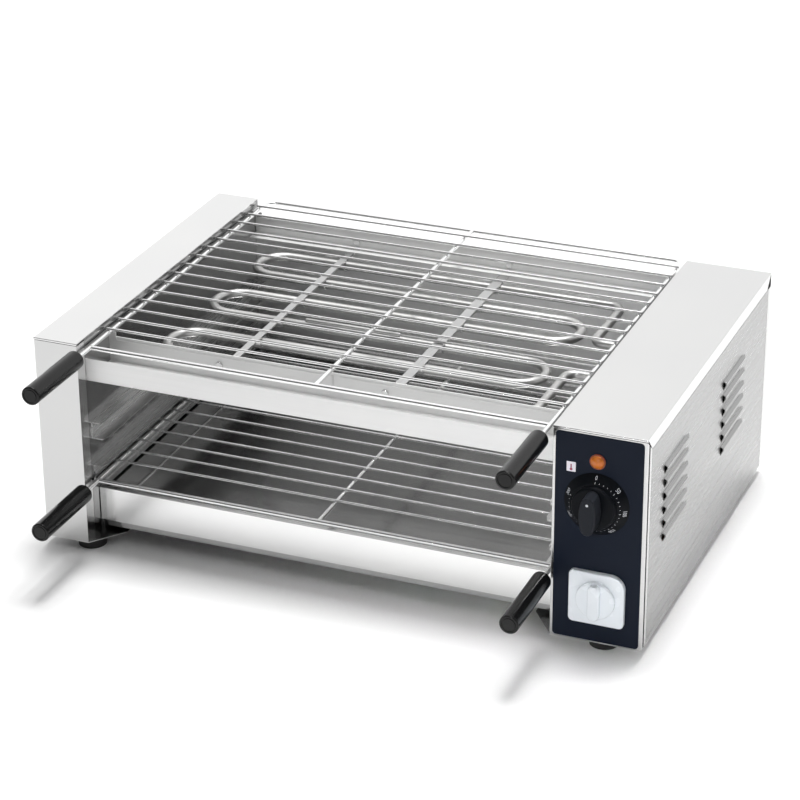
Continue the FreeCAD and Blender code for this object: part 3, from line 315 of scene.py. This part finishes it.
FINISHES = {
    LIT_TRAY_STEEL: ("drip_tray_front",),
    LIT_REAR_STEEL: ("rear_panel",),
    STEEL_X: ("control_front_panel", "floor_panel", "control_back_cover"),
    LIT_STEEL_Y: ("left_box_cover", "control_box_cover", "left_base_plate", "right_base_plate"),
    SHADED_SIDE_STEEL: ("control_side_panel",),
    LIT_SATIN_STEEL: ("front_beam", "front_shelf_angle", "rear_shelf_angle"),
    RAIL_STEEL: ("lower_rail_left", "lower_rail_right", "middle_rail_left",
                 "middle_rail_right"),
    SHADED_STEEL_Z: ("left_box_shell",),
    SHADED_WALL_STEEL: ("left_box_wall", "control_box_wall"),
    SHADED_MIRROR_STEEL: ("drip_tray_pan",),
    WIRE: ("upper_rack_frame", "upper_rack_wires", "lower_rack_frame", "lower_rack_wires"),
    TUBE: ("heating_element", "thermostat_bulb"),
    STRAP_STEEL: ("heater_strap_left", "heater_strap_right", "heater_clips"),
    SCREW_STEEL: ("pan_head_screws", "foot_screws", "earth_stud", "panel_nuts", "heater_pins",
                  "heater_glands", "thermostat_shaft", "selector_shaft"),
    CAPILLARY: ("thermostat_capillary",),
    GRIP: ("upper_left_grip", "upper_right_grip", "lower_left_grip", "lower_right_grip"),
    KNOB: ("thermostat_knob",),
    NAVY: ("control_overlay",),
    WHITE: ("selector_plate", "selector_knob"),
    LENS: ("lamp_lens",),
    DEVICE: ("thermostat_body", "selector_switch_body", "terminal_block", "lamp_body",
             "cable_gland", "gland_locknut"),
    SILICONE: ("inner_wires",),
    CERAMIC: ("heater_insulators",),
    RUBBER: ("front_left_foot", "rear_left_foot", "front_right_foot", "rear_right_foot"),
}

for finish, names in FINISHES.items():
    for name in names:
        mesh = NODES[name].data
        mesh.materials.clear()
        mesh.materials.append(finish)


# Prints and the badge on the control panel

def keep(mesh, name, material, body):
    """Makes a bmesh a finished piece that rides on a body; open prints face the front."""
    bmesh.ops.recalc_face_normals(mesh, faces=mesh.faces[:])
    if any(edge.is_boundary for edge in mesh.edges):
        turned = [face for face in mesh.faces if face.normal.y > 0]
        bmesh.ops.reverse_faces(mesh, faces=turned)
    data = bpy.data.meshes.new(name)
    mesh.to_mesh(data)
    mesh.free()
    data.materials.append(material)
    piece = bpy.data.objects.new(name, data)
    bpy.context.scene.collection.objects.link(piece)
    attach(piece, body)
    return piece


def facing_front(mesh, across, height, depth):
    """Stands a flat shape up so that it faces the front, at a place on the panel."""
    stand = Matrix(((1, 0, 0, across), (0, 0, -1, depth), (0, 1, 0, height), (0, 0, 0, 1)))
    bmesh.ops.transform(mesh, matrix=stand, verts=mesh.verts[:])


def film(width, height, thickness, corner):
    """A flat rounded rectangle of thin film."""
    mesh = bmesh.new()
    bmesh.ops.create_grid(mesh, x_segments=1, y_segments=1, size=0.5)
    bmesh.ops.scale(mesh, vec=(width, height, 1), verts=mesh.verts[:])
    bmesh.ops.bevel(mesh, geom=mesh.verts[:], offset=corner, affect="VERTICES", segments=5,
                    profile=0.5, material=-1)
    raised = bmesh.ops.extrude_face_region(mesh, geom=mesh.faces[:])["geom"]
    bmesh.ops.translate(mesh, vec=(0, 0, thickness),
                        verts=[item for item in raised if isinstance(item, bmesh.types.BMVert)])
    return mesh


def button(radius, thickness):
    """A low round button with a softened rim."""
    mesh = bmesh.new()
    bmesh.ops.create_cone(mesh, cap_ends=True, segments=32, radius1=radius,
                          radius2=radius * 0.8, depth=thickness)
    rim = [edge for edge in mesh.edges if all(vert.co.z > 0 for vert in edge.verts)]
    bmesh.ops.bevel(mesh, geom=rim, offset=thickness * 0.3, affect="EDGES", segments=2,
                    profile=0.5, material=-1)
    return mesh


def on_skirt(angle, aside, outward):
    """Point on the dial's cone, from an angle clockwise from the top and two distances."""
    across = math.sin(angle) * outward + math.cos(angle) * aside
    up = math.cos(angle) * outward - math.sin(angle) * aside
    skirt_radius = (knob_high.x - knob_low.x) / 2
    slope = SKIRT_DEPTH / (skirt_radius - SKIRT_FRONT_RADIUS)
    depth = (skirt_radius - math.hypot(aside, outward)) * slope
    return Vector((dial_centre.x + across, knob_high.y - depth - PRINT_LIFT,
                   dial_centre.z + up))


def dial_marks():
    """Short lines round the dial, longer where a figure stands."""
    marks = bmesh.new()
    count = DIAL_STEPS * MARKS_PER_STEP
    for index in range(count + 1):
        angle = DIAL_SWEEP * index / count
        reach = LONG_MARK if index % MARKS_PER_STEP == 0 else SHORT_MARK
        made = bmesh.ops.create_grid(marks, x_segments=1, y_segments=1, size=0.5)["verts"]
        for vert in made:
            vert.co = on_skirt(angle, vert.co.x * MARK_WIDTH, MARK_RADIUS + vert.co.y * reach)
    keep(marks, "dial_marks", PRINT, "thermostat_dial")


def dial_figures():
    """Plain numbers round the dial, laid on the cone."""
    figures = bmesh.new()
    for index in range(DIAL_STEPS + 1):
        text = bpy.data.curves.new("dial_figure", "FONT")
        text.body = str(index * DIAL_STEP_VALUE)
        text.size = FIGURE_SIZE
        text.align_x = "CENTER"
        text.resolution_u = 2
        holder = bpy.data.objects.new("dial_figure", text)
        bpy.context.scene.collection.objects.link(holder)
        bpy.context.view_layer.update()
        flat = bpy.data.meshes.new_from_object(holder)
        bpy.data.objects.remove(holder)
        for vert in flat.vertices:
            vert.co = on_skirt(DIAL_SWEEP * index / DIAL_STEPS, vert.co.x,
                               FIGURE_RADIUS + vert.co.y)
        figures.from_mesh(flat)
        bpy.data.meshes.remove(flat)
    keep(figures, "dial_figures", PRINT, "thermostat_dial")


def pointer_dot():
    """White dot near the upper end of the knob's bar."""
    dot = button(POINTER_RADIUS, POINTER_THICKNESS)
    facing_front(dot, dial_centre.x, dial_centre.z + POINTER_RISE, knob_low.y)
    keep(dot, "pointer_dot", PRINT, "thermostat_dial")


def panel_badge():
    """Small white plate beside the lamp with a thermometer on it."""
    across = lens_centre.x + BADGE_ACROSS
    height = lens_centre.z + BADGE_BELOW
    face = overlay_low.y
    plate = film(BADGE_WIDTH, BADGE_HEIGHT, BADGE_THICKNESS, BADGE_CORNER)
    facing_front(plate, across, height, face)
    keep(plate, "panel_badge", BADGE, "cabinet")
    layers = (
        ("thermometer_case", GREY_PRINT, 1.5, 1.55, 0.30, "selector_white"),
        ("thermometer_fill", RED_PRINT, 0.8, 1.1, 0.40, "wire_insulation"),
    )
    for name, material, stem_width, bulb_radius, lift, slot in layers:
        stem = film(stem_width * MM, STEM_LENGTH, INK_THICKNESS, stem_width * 0.45 * MM)
        bulb = button(bulb_radius * MM, INK_THICKNESS)
        bmesh.ops.translate(bulb, vec=(0, -BULB_DROP, 0), verts=bulb.verts[:])
        data = bpy.data.meshes.new("bulb")
        bulb.to_mesh(data)
        bulb.free()
        stem.from_mesh(data)
        bpy.data.meshes.remove(data)
        facing_front(stem, across, height, face - lift * MM)
        keep(stem, name, material, "cabinet")


dial_marks()
dial_figures()
pointer_dot()
panel_badge()


# Studio

def softbox(name, place, target, size, power, spread_angle=180):
    """Square softbox that is aimed at a target."""
    light = bpy.data.lights.new(name, "AREA")
    light.shape = "RECTANGLE"
    light.size = size
    light.size_y = size
    light.energy = power
    light.spread = math.radians(spread_angle)
    holder = bpy.data.objects.new(name, light)
    bpy.context.scene.collection.objects.link(holder)
    holder.location = place
    aim = Vector(target) - Vector(place)
    holder.rotation_mode = "QUATERNION"
    holder.rotation_quaternion = aim.to_track_quat("-Z", "Y")


def studio():
    """Pale floor, soft overhead light, and a surround that is bright behind and overhead."""
    ground = bmesh.new()
    bmesh.ops.create_grid(ground, x_segments=1, y_segments=1, size=FLOOR_HALF_SIZE)
    mesh = bpy.data.meshes.new("studio_floor")
    ground.to_mesh(mesh)
    ground.free()
    floor = bpy.data.objects.new("studio_floor", mesh)
    bpy.context.scene.collection.objects.link(floor)
    material, tree, shader = new_material("pale floor")
    shader.inputs["Base Color"].default_value = (FLOOR_GREY, FLOOR_GREY, FLOOR_GREY, 1)
    shader.inputs["Roughness"].default_value = 0.9
    shader.inputs["Specular IOR Level"].default_value = 0.0
    mesh.materials.append(material)

    world = bpy.data.worlds.new("studio surround")
    bpy.context.scene.world = world
    world.use_nodes = True
    tree = world.node_tree
    background = tree.nodes["Background"]
    background.inputs["Color"].default_value = (1, 1, 1, 1)
    coordinates = tree.nodes.new("ShaderNodeTexCoord")
    split = tree.nodes.new("ShaderNodeSeparateXYZ")
    tree.links.new(coordinates.outputs["Generated"], split.inputs["Vector"])
    behind = spread(tree, split.outputs["Y"], FRONT_STRENGTH, REAR_STRENGTH, -0.25, 0.35)
    sideways = spread(tree, split.outputs["X"], LEFT_LIFT, 1.0, -0.50, -0.22)
    times = tree.nodes.new("ShaderNodeMath")
    times.operation = "MULTIPLY"
    tree.links.new(behind, times.inputs[0])
    tree.links.new(sideways, times.inputs[1])
    overhead = spread(tree, split.outputs["Z"], 0.0, 1.0, 0.45, 0.75)
    top = spread(tree, split.outputs["Y"], TOP_FRONT_STRENGTH, TOP_STRENGTH, -0.45, 0.0)
    mix = tree.nodes.new("ShaderNodeMix")
    tree.links.new(overhead, mix.inputs["Factor"])
    tree.links.new(times.outputs["Value"], mix.inputs["A"])
    tree.links.new(top, mix.inputs["B"])
    tree.links.new(mix.outputs["Result"], background.inputs["Strength"])

    softbox("overhead softbox", OVERHEAD_PLACE, (0, 0, 0), OVERHEAD_SIZE, OVERHEAD_POWER)
    softbox("front fill", FILL_PLACE, FILL_TARGET, FILL_SIZE, FILL_POWER, FILL_SPREAD)


def camera():
    """Camera where the photograph was taken from."""
    lens = bpy.data.cameras.new("photo camera")
    lens.sensor_width = SENSOR_WIDTH
    lens.lens = SENSOR_WIDTH * FOCAL_PIXELS / PHOTO_PIXELS
    lens.clip_start = 0.1
    lens.clip_end = 100.0
    holder = bpy.data.objects.new("photo camera", lens)
    bpy.context.scene.collection.objects.link(holder)
    azimuth = math.radians(CAMERA_AZIMUTH)
    elevation = math.radians(CAMERA_ELEVATION)
    roll = math.radians(CAMERA_ROLL)
    back = Vector((math.sin(azimuth) * math.cos(elevation),
                   -math.cos(azimuth) * math.cos(elevation), math.sin(elevation)))
    right = (-back).cross(Vector((0, 0, 1))).normalized()
    up = right.cross(-back)
    turned_right = right * math.cos(roll) + up * math.sin(roll)
    turned_up = up * math.cos(roll) - right * math.sin(roll)
    turn = Matrix((turned_right, turned_up, back)).transposed()
    holder.matrix_world = Matrix.Translation(CAMERA_PLACE) @ turn.to_4x4()
    bpy.context.scene.camera = holder


studio()
camera()
bpy.context.scene.view_settings.view_transform = "Standard"
